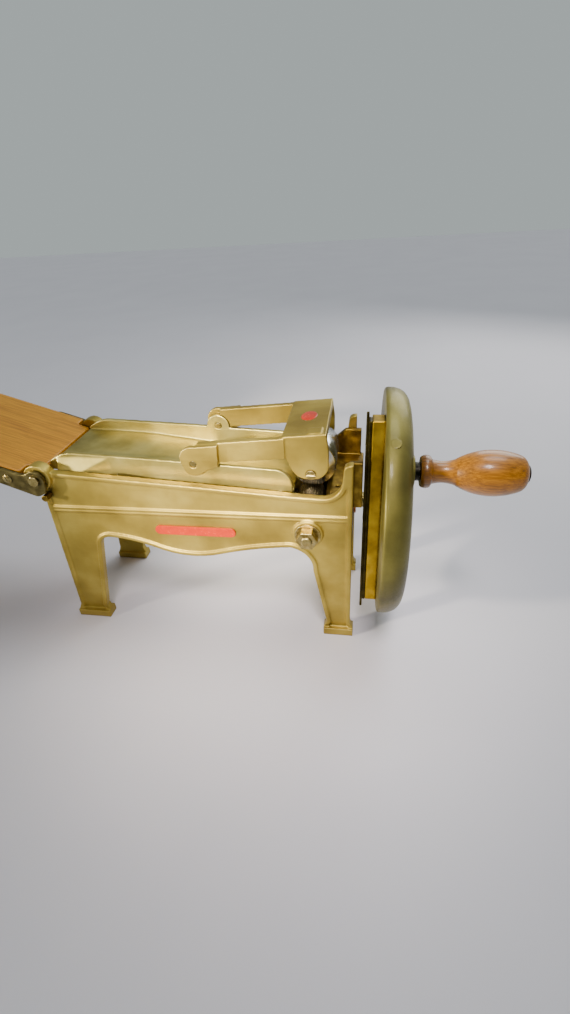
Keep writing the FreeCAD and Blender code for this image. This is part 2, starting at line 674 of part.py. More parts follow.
def worm():
    """Steel worm with one right-hand thread; its gap is upwards at the feed roller's axis."""
    turns = 10
    start = D["feed_x"] - LEAD * turns / 2
    core_radius = WORM_ROOT
    path = Part.makeHelix(LEAD, LEAD * turns, core_radius)
    foot = LEAD / 4 - D["gear_gap"] + 0.3
    crest = LEAD / 4 - D["gear_gap"] - 0.3
    tip = WORM_RADIUS + ADDENDUM - 0.1
    inside = core_radius - 0.4
    corners = [Vec(inside, 0, -foot), Vec(tip, 0, -crest), Vec(tip, 0, crest), Vec(inside, 0, foot)]
    section = Part.makePolygon(corners + [corners[0]])
    thread = Part.Wire(path).makePipeShell([section], True, True)
    core = Part.makeCylinder(core_radius, LEAD * (turns + 1), Vec(0, 0, -LEAD / 2))
    bore = Part.makeCylinder(D["spindle_radius"], LEAD * (turns + 3), Vec(0, 0, -LEAD * 1.5))
    solid = core.fuse(thread).cut(bore)
    piece = doc.addObject("Part::Feature", "worm")
    piece.Shape = solid
    lay_down = FreeCAD.Rotation(Vec(0, 0, 1), Vec(1, 0, 0))
    upright = lay_down.multVec(Vec(1, 0, 0))
    quarter = math.degrees(math.atan2(upright.z, upright.y))
    spin = FreeCAD.Rotation(Vec(1, 0, 0), 90 - quarter + 180)
    piece.Placement = FreeCAD.Placement(Vec(start, 0, shaft_z), spin.multiply(lay_down))
    return piece


node("worm", worm())

disc = D["disc_radius"]
face = D["disc_x"]
rim = D["disc_end"]
hub = D["hub_radius"]
web = face + D["web_thick"]
flywheel_points = [
    (D["hub_start"], thick), (D["hub_start"], hub), (face, hub), (face, disc - 1.5),
    ("via", face + 0.5, disc - 0.4), (face + 2, disc), (face + 8, disc - 0.2), ("via", rim - 5, disc - 5.5),
    (rim, disc - 19), ("via", rim - 1, disc - 23.5), (rim - 5, disc - 26), (web, disc - 31),
    (web, hub + 6), (web + 4, hub + 1), (D["hub_end"], hub), (D["hub_end"], thick),
]
wheel = lathe("flywheel_turned", flywheel_points, 0, shaft_z)
crank_boss = rod("crank_boss", "x", "12", "disc_x + 1", "disc_end + 0.6", ("crank_y", "crank_z"))
KNIFE_TOP = Vec(0, -20.5, shaft_z + 97)
KNIFE_FOOT = Vec(0, -38, shaft_z - 89)
CHORD = (KNIFE_TOP - KNIFE_FOOT).normalize()
ASIDE = Vec(0, CHORD.z, -CHORD.y)
KNIFE_LONG = (KNIFE_TOP - KNIFE_FOOT).Length
SCREW_PLACES = [0.14, 0.5, 0.86]
spots = [KNIFE_FOOT + CHORD * (KNIFE_LONG * part) - ASIDE * 4 for part in SCREW_PLACES]


def knife_holes(name):
    return [rod("%s_hole_%d" % (name, number), "x", "2.6", "knife_x - 5", "disc_x + 30", (str(spot.y), str(spot.z)))
            for number, spot in enumerate(spots)]


PLUG_ANGLE = math.radians(33)
PLUG_X = 217
plug_turn = FreeCAD.Rotation(Vec(0, 0, 1), Vec(0, -math.sin(PLUG_ANGLE), math.cos(PLUG_ANGLE)))


def plug(name, inner, outer):
    peg = doc.addObject("Part::Cylinder", name)
    peg.Radius = 4.2
    peg.Height = outer - inner
    out = plug_turn.multVec(Vec(0, 0, 1))
    peg.Placement = FreeCAD.Placement(Vec(PLUG_X, 0, shaft_z) + out * inner, plug_turn)
    return peg


bolt_hole = rod("crank_hole", "x", "crank_pin_radius + 1.5", "disc_x - 2", "disc_end + 5", ("crank_y", "crank_z"))
node("flywheel", cut(
    "flywheel", fuse("flywheel_solid", wheel, crank_boss), bolt_hole, plug("rim_plug_hole", 91, 105),
    *knife_holes("flywheel")))
node("rim_plug", plug("rim_plug", 91, disc + 0.2))

hub_nut = doc.addObject("Part::Prism", "hub_nut_blank")
hub_nut.Polygon = 6
hub_nut.Placement = FreeCAD.Placement(Vec(), TURN["x"])
hub_nut.Circumradius = 9.8
hub_nut.Height = 7
place(hub_nut, "hub_end + 1.5", "0", "shaft_z")
nut_bore = rod("hub_nut_bore", "x", "5", "220", "260", ("0", "shaft_z"))
node("hub_nut", cut("hub_nut", hub_nut, nut_bore))


# ---------------------------------------------------------------- knife, its clamp bar and holder
def chord_bar(name, low, high, start, end, x_start, thickness, tip=0):
    """A flat bar along the knife's chord; low and high are its edges to either side of the chord."""
    near_foot = KNIFE_FOOT + CHORD * start + ASIDE * low
    near_top = KNIFE_FOOT + CHORD * (KNIFE_LONG - end) + ASIDE * low
    far_top = KNIFE_FOOT + CHORD * (KNIFE_LONG - end - tip) + ASIDE * high
    far_foot = KNIFE_FOOT + CHORD * (start + tip) + ASIDE * high
    points = [(p.y, p.z) for p in (near_foot, far_foot, far_top, near_top)]
    return end_profile(name, points, x_start, "(%s) + (%s)" % (x_start, thickness))


knife_blank = chord_bar("knife_blank", -9, 14, 0, 0, "knife_x", "knife_thick", tip=14)
clamp_blank = chord_bar("clamp_blank", -9, 3, 8, 8, "knife_x + knife_thick", "clamp_thick")
holder_blank = chord_bar("holder_blank", -9, 9, 8, 8, "knife_x + knife_thick + clamp_thick",
                         "disc_x - knife_x - knife_thick - clamp_thick")
node("knife", cut("knife", knife_blank, *knife_holes("knife")))
node("knife_clamp", cut("knife_clamp", clamp_blank, *knife_holes("clamp")))
node("knife_holder", cut("knife_holder", holder_blank, *knife_holes("holder")))
node("knife_screws", group("knife_screws", *[
    rod("knife_screw_%d" % number, "x", "2.6", "knife_x", "disc_x + web_thick + 1", (str(spot.y), str(spot.z)))
    for number, spot in enumerate(spots)]))

# ---------------------------------------------------------------- crank pin, wooden grip and its end cap
pin_start = D["disc_x"] + 1
seat = rim + 0.6
pin_points = [
    (pin_start, 0), (pin_start, 5), (seat, 5), (seat, 7), (rim + 4.4, 7), (rim + 4.8, 6.5), (rim + 4.8, 3.5),
    (D["grip_end"] + 0.4, 3.5), (D["grip_end"] + 0.4, 0),
]
node("crank_pin", lathe("crank_pin", pin_points, D["crank_y"], D["crank_z"]))

grip_start = D["grip_start"]
grip_end = D["grip_end"]
bore = D["crank_pin_radius"] + D["grip_gap"]
grip_points = [
    (grip_start, bore), (grip_start, 11), ("via", grip_start + 3, 12.4), (grip_start + 7, 11.6),
    (grip_start + 8.5, 9.2), ("via", grip_start + 15, 8.1), (grip_start + 25, 9.8),
    ("via", grip_start + 50, 17), (grip_end - 6, 13.8), ("via", grip_end - 1.6, 10.8), (grip_end, 7),
    (grip_end, bore),
]
node("crank_grip", lathe("crank_grip", grip_points, D["crank_y"], D["crank_z"]))

cap_start = grip_end + 0.4
cap_points = [
    (cap_start, 0), (cap_start, 6.4), (cap_start + 0.8, 6.4), ("via", cap_start + 1.6, 4.6), (MACHINE_END, 2.2),
    (MACHINE_END, 0),
]
node("grip_cap", lathe("grip_cap", cap_points, D["crank_y"], D["crank_z"]))

# ---------------------------------------------------------------- check and write
doc.recompute()
for thing in doc.Objects:
    if "Invalid" in thing.State or "Error" in thing.State:
        raise RuntimeError("failed: %s %s" % (thing.Name, thing.State))
os.makedirs("parts", exist_ok=True)
low = Vec(1e9, 1e9, 1e9)
high = Vec(-1e9, -1e9, -1e9)
for thing in NODES:
    shape = thing.Shape
    if shape.isNull() or not shape.isValid() or not shape.Solids:
        raise RuntimeError("bad shape: " + thing.Label)
    bounds = shape.BoundBox
    low = Vec(min(low.x, bounds.XMin), min(low.y, bounds.YMin), min(low.z, bounds.ZMin))
    high = Vec(max(high.x, bounds.XMax), max(high.y, bounds.YMax), max(high.z, bounds.ZMax))
    print("%-20s solids %d volume %10.1f" % (thing.Label, len(shape.Solids), shape.Volume))
    shape.exportStep("parts/%s.step" % thing.Label)
print("nodes", len(NODES), "box", low, high)
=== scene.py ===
import math
import bmesh
import bpy
from mathutils import Matrix, Vector


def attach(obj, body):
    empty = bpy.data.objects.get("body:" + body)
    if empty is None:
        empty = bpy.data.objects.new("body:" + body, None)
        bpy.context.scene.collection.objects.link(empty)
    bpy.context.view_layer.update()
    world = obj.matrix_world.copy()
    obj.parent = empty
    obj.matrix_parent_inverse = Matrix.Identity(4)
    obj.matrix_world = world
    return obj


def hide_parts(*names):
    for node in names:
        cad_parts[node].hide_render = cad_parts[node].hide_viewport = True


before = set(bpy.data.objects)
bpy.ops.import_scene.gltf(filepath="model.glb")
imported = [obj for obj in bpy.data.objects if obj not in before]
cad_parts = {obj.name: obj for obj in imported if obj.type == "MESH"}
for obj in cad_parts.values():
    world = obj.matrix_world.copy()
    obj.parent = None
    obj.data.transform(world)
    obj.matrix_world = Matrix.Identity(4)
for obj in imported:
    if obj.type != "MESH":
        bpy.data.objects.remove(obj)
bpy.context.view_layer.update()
MM = 0.001

# ------------------------------------------------------------------ camera, table and light
# A wide lens stands close in front of the machine, above its top, tipped down and leaning a little.
# The table is pale and matt; the lamps leave a warm pool of light on the castings.
CAMERA_PLACE = Vector((193.8, -369.0, 362.0)) * MM
CAMERA_YAW = math.radians(11.0)
CAMERA_TIP = math.radians(33.7)
CAMERA_LEAN = math.radians(4.0)
FOCAL_MM = 16.828402

ahead = Vector((-math.sin(CAMERA_YAW), math.cos(CAMERA_YAW), 0))
right = Vector((math.cos(CAMERA_YAW), math.sin(CAMERA_YAW), 0))
up = Vector((0, 0, 1))
look = ahead * math.cos(CAMERA_TIP) - up * math.sin(CAMERA_TIP)
head = up * math.cos(CAMERA_TIP) + ahead * math.sin(CAMERA_TIP)
camera_x = right * math.cos(CAMERA_LEAN) - head * math.sin(CAMERA_LEAN)
camera_y = head * math.cos(CAMERA_LEAN) + right * math.sin(CAMERA_LEAN)
lens = bpy.data.cameras.new("camera")
lens.sensor_width = 36
lens.lens = FOCAL_MM
lens.clip_start = 0.01
camera = bpy.data.objects.new("camera", lens)
camera_turn = Matrix((camera_x, camera_y, -look)).transposed().to_4x4()
camera.matrix_world = Matrix.Translation(CAMERA_PLACE) @ camera_turn
bpy.context.scene.collection.objects.link(camera)
bpy.context.scene.camera = camera


def linear(code):
    """An sRGB hex colour as the linear values that shaders take."""
    values = [int(code[i:i + 2], 16) / 255 for i in (0, 2, 4)]
    return tuple(v / 12.92 if v <= 0.04045 else ((v + 0.055) / 1.055) ** 2.4 for v in values) + (1.0,)


def add(tree, kind, settings=None, links=None):
    """One node with its settings, named by property or socket, and the outputs that feed its sockets."""
    made = tree.nodes.new(kind)
    for key, value in (settings or {}).items():
        if isinstance(key, str) and hasattr(made, key):
            setattr(made, key, value)
        else:
            made.inputs[key].default_value = value
    for key, source in (links or {}).items():
        tree.links.new(source, made.inputs[key])
    return made


def new_material(name):
    """An empty node material, its tree and the place on the piece that its textures follow."""
    material = bpy.data.materials.new(name)
    material.use_nodes = True
    tree = material.node_tree
    tree.nodes.clear()
    return material, tree, add(tree, "ShaderNodeTexCoord").outputs["Object"]


def surface(tree, settings, links):
    """The shader itself, joined to the material's output."""
    shader = add(tree, "ShaderNodeBsdfPrincipled", settings, links)
    add(tree, "ShaderNodeOutputMaterial", links={"Surface": shader.outputs[0]})


# The table top is a matt pale sheet that runs on past the view.
TABLE_SIZE = 8.0
table_finish, tree, where = new_material("pale_matt_table")
cloud = add(tree, "ShaderNodeTexNoise", {"Scale": 5.0, "Detail": 3.0}, {"Vector": where})
tone = add(tree, "ShaderNodeMix", {"data_type": "RGBA", 6: linear("D9D6DE"), 7: linear("E4E2E8")},
           {0: cloud.outputs[0]})
surface(tree, {"Roughness": 0.55, "Specular IOR Level": 0.3}, {"Base Color": tone.outputs[2]})
plan = bmesh.new()
bmesh.ops.create_grid(plan, x_segments=1, y_segments=1, size=TABLE_SIZE / 2)
table_mesh = bpy.data.meshes.new("table_top")
plan.to_mesh(table_mesh)
plan.free()
table_mesh.materials.append(table_finish)
table_top = bpy.data.objects.new("table_top", table_mesh)
bpy.context.scene.collection.objects.link(table_top)

# The room is darker in front and to the left than behind and to the right; the lens sees one even tone.
SEEN_STRENGTH = 0.62
world = bpy.data.worlds.new("studio")
world.use_nodes = True
bpy.context.scene.world = world
sky = world.node_tree
sky.nodes.clear()
ray = add(sky, "ShaderNodeTexCoord").outputs["Generated"]
parts = add(sky, "ShaderNodeSeparateXYZ", links={0: ray}).outputs
rear = add(sky, "ShaderNodeMapRange", {"From Min": -0.7, "From Max": 0.8, "To Min": 0.16, "To Max": 0.6},
           {"Value": parts["Y"]})
lit_side = add(sky, "ShaderNodeMapRange", {"From Min": -1.0, "From Max": 1.0, "To Min": 0.6, "To Max": 1.25},
               {"Value": parts["X"]})
strength = add(sky, "ShaderNodeMath", {"operation": "MULTIPLY"}, {0: rear.outputs[0], 1: lit_side.outputs[0]})
seen = add(sky, "ShaderNodeLightPath").outputs["Is Camera Ray"]
level = add(sky, "ShaderNodeMix", {3: SEEN_STRENGTH}, {0: seen, 2: strength.outputs[0]})
back = add(sky, "ShaderNodeBackground", {"Color": linear("D3DEDE")}, {"Strength": level.outputs[0]})
add(sky, "ShaderNodeOutputWorld", links={"Surface": back.outputs[0]})

# Each lamp: kind, place, aim, size (an angle for the sun), power, cone in degrees, tint.
LAMPS = {
    "key_spot": ("SPOT", (-0.95, -0.62, 0.4), (0.14, -0.05, 0.13), 0.05, 105.0, 22, "FFF4E0"),
    "casting_spot": ("SPOT", (0.02, -1.0, 0.62), (0.06, -0.06, 0.16), 0.04, 210.0, 15, "FFF2DC"),
    "pool_spot": ("SPOT", (0.25, -0.5, 0.95), (0.12, -0.04, 0.0), 0.12, 34.0, 32, "FFF4F6"),
    "back_softbox": ("AREA", (0.6, 0.9, 0.7), (0.1, 0.0, 0.12), 0.7, 6.0, 0, "FFFDF8"),
    "room_sun": ("SUN", (0.3, 0.4, 1.5), (0.0, 0.0, 0.0), 0.5, 1.2, 0, "F2F6FA"),
}
for lamp_name, (kind, place, aim, size, power, cone, tint) in LAMPS.items():
    lamp = bpy.data.lights.new(lamp_name, kind)
    lamp.energy = power
    lamp.color = linear(tint)[:3]
    if kind == "SPOT":
        lamp.shadow_soft_size = size
        lamp.spot_size = math.radians(cone)
        lamp.spot_blend = 1.0
    elif kind == "SUN":
        lamp.angle = size
    else:
        lamp.size = size
    stand = bpy.data.objects.new(lamp_name, lamp)
    away = Vector(place) - Vector(aim)
    stand.matrix_world = Matrix.Translation(place) @ away.to_track_quat("Z", "Y").to_matrix().to_4x4()
    bpy.context.scene.collection.objects.link(stand)


# ------------------------------------------------------------------ cast body: side frames, trough, press arm
# Sand-cast aluminium alloy, fettled and polished by hand, then yellowed by lacquer and use. Its edges are
# soft, its flats carry faint polishing lines, and its inner corners are darkened by painted shade.
CORNER_MM = 5
GRAIN_MM = 1.6
RELIEF_MM = 0.12
STREAK_ACROSS = 900.0
STREAK_ALONG = 25.0


def three_tones(tree, source, dark, mid, light, low, high):
    """A value spread over dark, middle and light tones."""
    tones = add(tree, "ShaderNodeValToRGB", links={0: source})
    ramp = tones.color_ramp
    ramp.elements[0].position = low
    ramp.elements[0].color = linear(dark)
    ramp.elements[1].position = high
    ramp.elements[1].color = linear(light)
    ramp.elements.new(0.5).color = linear(mid)
    return tones.outputs[0]


def tinted(tree, colour, tint, share):
    """A colour pulled towards a tint where the share is high."""
    mixed = add(tree, "ShaderNodeMix", {"data_type": "RGBA", 7: linear(tint)}, {0: share, 6: colour})
    return mixed.outputs[2]


def metal(name, light, mid, dark, rough, patch=14.0, lines=0.0, line_axis=0, worn="", corner_shade="", wear_mm=0.7,
          pit=0.0, coat=0.0, metallic=1.0, shade_depth=0.6):
    """A metal finish: blotches of three tones patch mm wide, polishing lines, worn edges, painted shade in
    corners.
    """
    material, tree, where = new_material(name)
    blotch = add(tree, "ShaderNodeTexNoise", {"Scale": 1 / (patch * MM), "Detail": 4.0, "Roughness": 0.5},
                 {"Vector": where})
    colour = three_tones(tree, blotch.outputs[0], dark, mid, light, 0.3, 0.7)
    normal = add(tree, "ShaderNodeNewGeometry").outputs["Normal"]
    facing = normal
    if wear_mm:
        facing = add(tree, "ShaderNodeBevel", {"samples": 4, "Radius": wear_mm * MM}).outputs[0]
    # Painted shade: ambient occlusion pulls the colour towards a dark tone in corners and hollows.
    if corner_shade:
        corner = add(tree, "ShaderNodeAmbientOcclusion", {"samples": 4, "Distance": CORNER_MM * MM})
        shade_share = add(tree, "ShaderNodeMapRange", {"From Min": 0.7, "From Max": 0.2, "To Max": shade_depth},
                   {"Value": corner.outputs["AO"]})
        colour = tinted(tree, colour, corner_shade, shade_share.outputs[0])
    if worn:
        match = add(tree, "ShaderNodeVectorMath", {"operation": "DOT_PRODUCT"}, {0: normal, 1: facing})
        edge = add(tree, "ShaderNodeMapRange", {"From Min": 0.985, "From Max": 0.9, "To Max": 0.75},
                   {"Value": match.outputs["Value"]})
        colour = tinted(tree, colour, worn, edge.outputs[0])
    stretch = [STREAK_ACROSS] * 3
    stretch[line_axis] = STREAK_ALONG
    spread = add(tree, "ShaderNodeMapping", {"Scale": stretch}, {"Vector": where})
    streak = add(tree, "ShaderNodeTexNoise", {"Scale": 1.0, "Detail": 2.0}, {"Vector": spread.outputs[0]})
    grain = add(tree, "ShaderNodeTexNoise", {"Scale": 1 / (GRAIN_MM * MM), "Detail": 3.0}, {"Vector": where})
    texture = add(tree, "ShaderNodeMix", {0: lines}, {2: grain.outputs[0], 3: streak.outputs[0]})
    shine = add(tree, "ShaderNodeMapRange", {"From Min": 0.25, "From Max": 0.75, "To Min": rough - 0.06,
                "To Max": rough + 0.1}, {"Value": texture.outputs[0]})
    relief = add(tree, "ShaderNodeBump", {"Strength": 0.1 + pit, "Distance": RELIEF_MM * MM},
                 {"Height": texture.outputs[0], "Normal": facing})
    surface(tree, {"Metallic": metallic, "Coat Weight": coat, "Coat Roughness": 0.15},
            {"Base Color": colour, "Roughness": shine.outputs[0], "Normal": relief.outputs[0]})
    return material


WELD = 0.002 * MM


def stand_in(piece, body, *nodes):
    """Hang a finished piece on its body in place of the CAD nodes it shows."""
    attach(piece, body)
    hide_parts(*nodes)


def settled(raw):
    """The mesh that an object's modifiers leave; the object itself goes."""
    bpy.context.view_layer.update()
    mesh = bpy.data.meshes.new_from_object(raw.evaluated_get(bpy.context.evaluated_depsgraph_get()))
    bpy.data.objects.remove(raw)
    return mesh


def show(name, mesh, finish=None):
    """A mesh as an object, with one finish all over if it is given."""
    if finish:
        mesh.materials.clear()
        mesh.materials.append(finish)
    piece = bpy.data.objects.new(name, mesh)
    bpy.context.scene.collection.objects.link(piece)
    return piece


def soft_copy(name, node, body, finish, cell, rubs, keep=1.0):
    """The CAD node's shape re-laid in cell mm faces and rubbed soft, as casting and fettling leave it."""
    mesh = bpy.data.meshes.new(name)
    shape = bmesh.new()
    shape.from_mesh(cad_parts[node].data)
    bmesh.ops.remove_doubles(shape, verts=shape.verts, dist=WELD)
    shape.to_mesh(mesh)
    shape.free()
    raw = show(name + "_raw", mesh)
    relay = raw.modifiers.new("relay", "REMESH")
    relay.mode = "VOXEL"
    relay.voxel_size = cell * MM
    relay.use_smooth_shade = True
    rub = raw.modifiers.new("rub", "SMOOTH")
    rub.factor = 0.5
    rub.iterations = rubs
    if keep < 1.0:
        thin = raw.modifiers.new("thin", "DECIMATE")
        thin.ratio = keep
    done = settled(raw)
    done.shade_smooth()
    stand_in(show(name, done, finish), body, node)


cast_alloy = metal("polished_cast_aluminium", "C4AE54", "AA9440", "8A7630", 0.42, patch=45, lines=0.5,
                   worn="EEE2A4", corner_shade="342A0C", wear_mm=0.8, pit=0.04, shade_depth=0.85, metallic=0.8)
trough_alloy = metal("food_worn_cast_aluminium", "CABE74", "B2A45A", "92843F", 0.38, patch=30, lines=0.7,
                     worn="EEE4A8", corner_shade="40340F", wear_mm=0.8, pit=0.04, shade_depth=0.85, metallic=0.85)
# Each piece: CAD node, body, finish, cell in mm, rubs, share of faces kept.
CAST_PIECES = {
    "near_frame_casting": ("side_frame_near", "frame", cast_alloy, 0.7, 3, 0.6),
    "far_frame_casting": ("side_frame_far", "frame", cast_alloy, 0.7, 3, 0.6),
    "trough_casting": ("feed_trough", "frame", trough_alloy, 0.7, 3, 0.6),
    "press_arm_casting": ("press_arm", "press_arm", cast_alloy, 0.6, 3, 0.8),
}
for piece_name, (node, body, finish, cell, rubs, keep) in CAST_PIECES.items():
    soft_copy(piece_name, node, body, finish, cell, rubs, keep)

# ------------------------------------------------------------------ mouth, cradle and bearing plate
# Rougher castings of the same alloy, left unpolished, in darker tones that are painted shade.
# They carry the shaft, the worm drive and the slot that the food leaves by.
shade_darkened_casting = metal("shade_darkened_rough_casting", "9A8034", "705A22", "443614", 0.42, patch=9, worn="C0A450",
                     corner_shade="1C160A", pit=0.2)
for piece_name, node, cell in (("mouth_casting", "mouth_plate", 0.6), ("cradle_casting", "gear_cradle", 0.8),
                               ("bearing_casting", "bearing_plate", 0.7)):
    soft_copy(piece_name, node, "frame", shade_darkened_casting, cell, 3)

# ------------------------------------------------------------------ enamel bars and oval
# Fired red enamel, glossy and a little thick, over raised bars of the casting. The bars and the oval on
# the press arm are plain.
enamel_finish, tree, where = new_material("fired_red_enamel")
pool = add(tree, "ShaderNodeTexNoise", {"Scale": 1 / (3.5 * MM), "Detail": 4.0}, {"Vector": where})
red = add(tree, "ShaderNodeMix", {"data_type": "RGBA", 6: linear("901800"), 7: linear("B83206")},
          {0: pool.outputs[0]})
wave = add(tree, "ShaderNodeBump", {"Strength": 0.2, "Distance": 0.2 * MM}, {"Height": pool.outputs[0]})
gloss = add(tree, "ShaderNodeMapRange", {"To Min": 0.16, "To Max": 0.34}, {"Value": pool.outputs[0]})
surface(tree, {"Coat Weight": 0.2, "Coat Roughness": 0.12},
        {"Base Color": red.outputs[2], "Roughness": gloss.outputs[0], "Normal": wave.outputs[0]})
for hand in ("near", "far"):
    soft_copy(hand + "_enamel_bar", "enamel_bar_" + hand, "frame", enamel_finish, 0.35, 4)


def give(node, finish):
    """A CAD node keeps its shape and takes a finish."""
    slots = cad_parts[node].data.materials
    slots.clear()
    slots.append(finish)


give("enamel_oval", enamel_finish)

# ------------------------------------------------------------------ board and its straps
# A planed hardwood board, oiled golden, with its grain along its length. Two dull steel straps carry it
# at a slope and let it swing up about the hinge pins.
TILT = math.radians(18.5)
WARP = 0.006


def wood(name, pale, mid, dark, turn, across_mm, along_mm, rough, coat, coat_rough, stain_mm=None):
    """Straight-grained wood: streaks along the piece, finer pores in them, a varnish coat on top."""
    material, tree, where = new_material(name)
    aligned = add(tree, "ShaderNodeMapping", {"Rotation": turn}, {"Vector": where})
    long_scale = (1 / (along_mm * MM), 1 / (across_mm * MM), 1 / (across_mm * MM))
    warp = add(tree, "ShaderNodeTexNoise", {"Scale": 14.0, "Detail": 2.0}, {"Vector": aligned.outputs[0]})
    shift = add(tree, "ShaderNodeVectorMath", {"operation": "MULTIPLY_ADD", 1: (WARP, WARP, WARP)},
                {0: warp.outputs["Color"], 2: aligned.outputs[0]})
    pulled = add(tree, "ShaderNodeMapping", {"Scale": long_scale}, {"Vector": shift.outputs[0]})
    figure = add(tree, "ShaderNodeTexNoise", {"Scale": 1.0, "Detail": 4.0, "Roughness": 0.55},
                 {"Vector": pulled.outputs[0]})
    tones = three_tones(tree, figure.outputs[0], dark, mid, pale, 0.32, 0.66)
    fine = add(tree, "ShaderNodeMapping", {"Scale": [4 * value for value in long_scale]},
               {"Vector": shift.outputs[0]})
    pores = add(tree, "ShaderNodeTexNoise", {"Scale": 1.0, "Detail": 3.0}, {"Vector": fine.outputs[0]})
    pore_depth = add(tree, "ShaderNodeMapRange", {"From Min": 0.35, "From Max": 0.55, "To Min": 0.78},
                     {"Value": pores.outputs[0]})
    colour = add(tree, "ShaderNodeMix", {"data_type": "RGBA", "blend_type": "MULTIPLY", 0: 1.0},
                 {6: tones, 7: pore_depth.outputs[0]})
    if stain_mm:
        spot = add(tree, "ShaderNodeSeparateXYZ", links={0: where}).outputs["X"]
        depth = add(tree, "ShaderNodeMapRange", {"From Min": stain_mm[0] * MM, "From Max": stain_mm[1] * MM,
                    "To Min": 0.35}, {"Value": spot})
        colour = add(tree, "ShaderNodeMix", {"data_type": "RGBA", "blend_type": "MULTIPLY", 0: 1.0},
                     {6: colour.outputs[2], 7: depth.outputs[0]})
    relief = add(tree, "ShaderNodeBump", {"Strength": 0.25, "Distance": RELIEF_MM * MM},
                 {"Height": pores.outputs[0]})
    shine = add(tree, "ShaderNodeMapRange", {"To Min": rough - 0.08, "To Max": rough + 0.1},
                {"Value": figure.outputs[0]})
    surface(tree, {"Coat Weight": coat, "Coat Roughness": coat_rough},
            {"Base Color": colour.outputs[2], "Roughness": shine.outputs[0], "Normal": relief.outputs[0]})
    return material


board_wood = wood("oiled_golden_board", "E09C04", "D08C02", "B47402", turn=(0, -TILT, 0), across_mm=1.7,
                  along_mm=110, rough=0.4, coat=0.12, coat_rough=0.35)
soft_copy("feed_board", "board", "board", board_wood, 1.0, 3)
strap_steel = metal("dull_rolled_strip", "82764A", "6A6038", "4A4226", 0.42, patch=6, worn="A89C68",
                    corner_shade="221C0C")
for hand in ("near", "far"):
    soft_copy(hand + "_strap", "board_strap_" + hand, "board", strap_steel, 0.45, 3)

# ------------------------------------------------------------------ strap screws
# Four slotted steel screws with low domed heads hold the straps to the board, two to a side. Their slots
# stopped wherever the driver left them, so no two line up.
HINGE = Vector((-83, 0, 168)) * MM
ALONG = Vector((-math.cos(TILT), 0, math.sin(TILT)))
NORMAL = Vector((math.sin(TILT), 0, math.cos(TILT)))
STRAP_FACE = 58.6 * MM
SCREW_FIRST = 24 * MM
SCREW_STEP = 13.5 * MM
SCREW_DROP = 6.5 * MM
LOOSE_TURN = (0, 0, 3.1)


def turned(name, profile, steps=72, crease=35):
    """A mesh turned about Z from (height, radius) points in mm; a profile with a bore ends where it began."""
    shape = bmesh.new()
    ring = [shape.verts.new((radius * MM, 0, high * MM)) for high, radius in profile]
    lines = [shape.edges.new(pair) for pair in zip(ring, ring[1:])]
    bmesh.ops.spin(shape, geom=ring + lines, cent=(0, 0, 0), axis=(0, 0, 1), angle=2 * math.pi, steps=steps,
                   use_merge=True)
    bmesh.ops.remove_doubles(shape, verts=shape.verts, dist=WELD)
    bmesh.ops.recalc_face_normals(shape, faces=shape.faces)
    for face in shape.faces:
        face.smooth = True
    for edge in shape.edges:
        edge.smooth = edge.calc_face_angle(0) < math.radians(crease)
    mesh = bpy.data.meshes.new(name)
    shape.to_mesh(mesh)
    shape.free()
    return mesh


def laid(mesh, direction, spot):
    """Turn a mesh from Z to a direction and put its origin at a spot."""
    mesh.transform(Matrix.Translation(spot) @ direction.to_track_quat("Z", "X").to_matrix().to_4x4())
    return mesh


def axes(first, second, third):
    """A turn that takes X, Y and Z to three directions."""
    return Matrix((first, second, third)).transposed().to_4x4()


def slotted(name, profile, slot_wide, slot_floor, reach):
    """A turned screw with a saw slot across its head."""
    saw_deep = 2
    blank = show(name + "_blank", turned(name + "_blank", profile))
    saw = bmesh.new()
    bmesh.ops.create_cube(saw, size=1.0)
    bmesh.ops.scale(saw, vec=(3 * reach * MM, slot_wide * MM, saw_deep * MM), verts=saw.verts)
    bmesh.ops.translate(saw, vec=(0, 0, (slot_floor + saw_deep / 2) * MM), verts=saw.verts)
    saw_mesh = bpy.data.meshes.new(name + "_saw")
    saw.to_mesh(saw_mesh)
    saw.free()
    saw_piece = show(name + "_saw", saw_mesh)
    slit = blank.modifiers.new("slit", "BOOLEAN")
    slit.object = saw_piece
    slit.operation = "DIFFERENCE"
    mesh = settled(blank)
    bpy.data.objects.remove(saw_piece)
    return mesh


# The node group that sets out a piece count times, each moved, turned and spun by chance, then joins them.
repeat = bpy.data.node_groups.new("repeat_piece", "GeometryNodeTree")
SOCKETS = {}
for label, kind in {"Piece": "Geometry", "Count": "Int", "Step Move": "Vector", "Step Turn": "Vector",
                    "Spin": "Vector", "Seed": "Int", "Finish": "Material"}.items():
    socket = repeat.interface.new_socket(label, in_out="INPUT", socket_type="NodeSocket" + kind)
    SOCKETS[label] = socket.identifier
repeat.interface.new_socket("Geometry", in_out="OUTPUT", socket_type="NodeSocketGeometry")
given = add(repeat, "NodeGroupInput").outputs
index = add(repeat, "GeometryNodeInputIndex").outputs[0]
move = add(repeat, "ShaderNodeVectorMath", {"operation": "SCALE"}, {0: given["Step Move"], "Scale": index})
turn = add(repeat, "ShaderNodeVectorMath", {"operation": "SCALE"}, {0: given["Step Turn"], "Scale": index})
chance = add(repeat, "FunctionNodeRandomValue", {"data_type": "FLOAT"}, {"Seed": given["Seed"]})
spin = add(repeat, "ShaderNodeVectorMath", {"operation": "SCALE"},
           {0: given["Spin"], "Scale": chance.outputs[1]})
facing = add(repeat, "ShaderNodeVectorMath", {"operation": "ADD"}, {0: turn.outputs[0], 1: spin.outputs[0]})
angle = add(repeat, "FunctionNodeEulerToRotation", links={0: facing.outputs[0]})
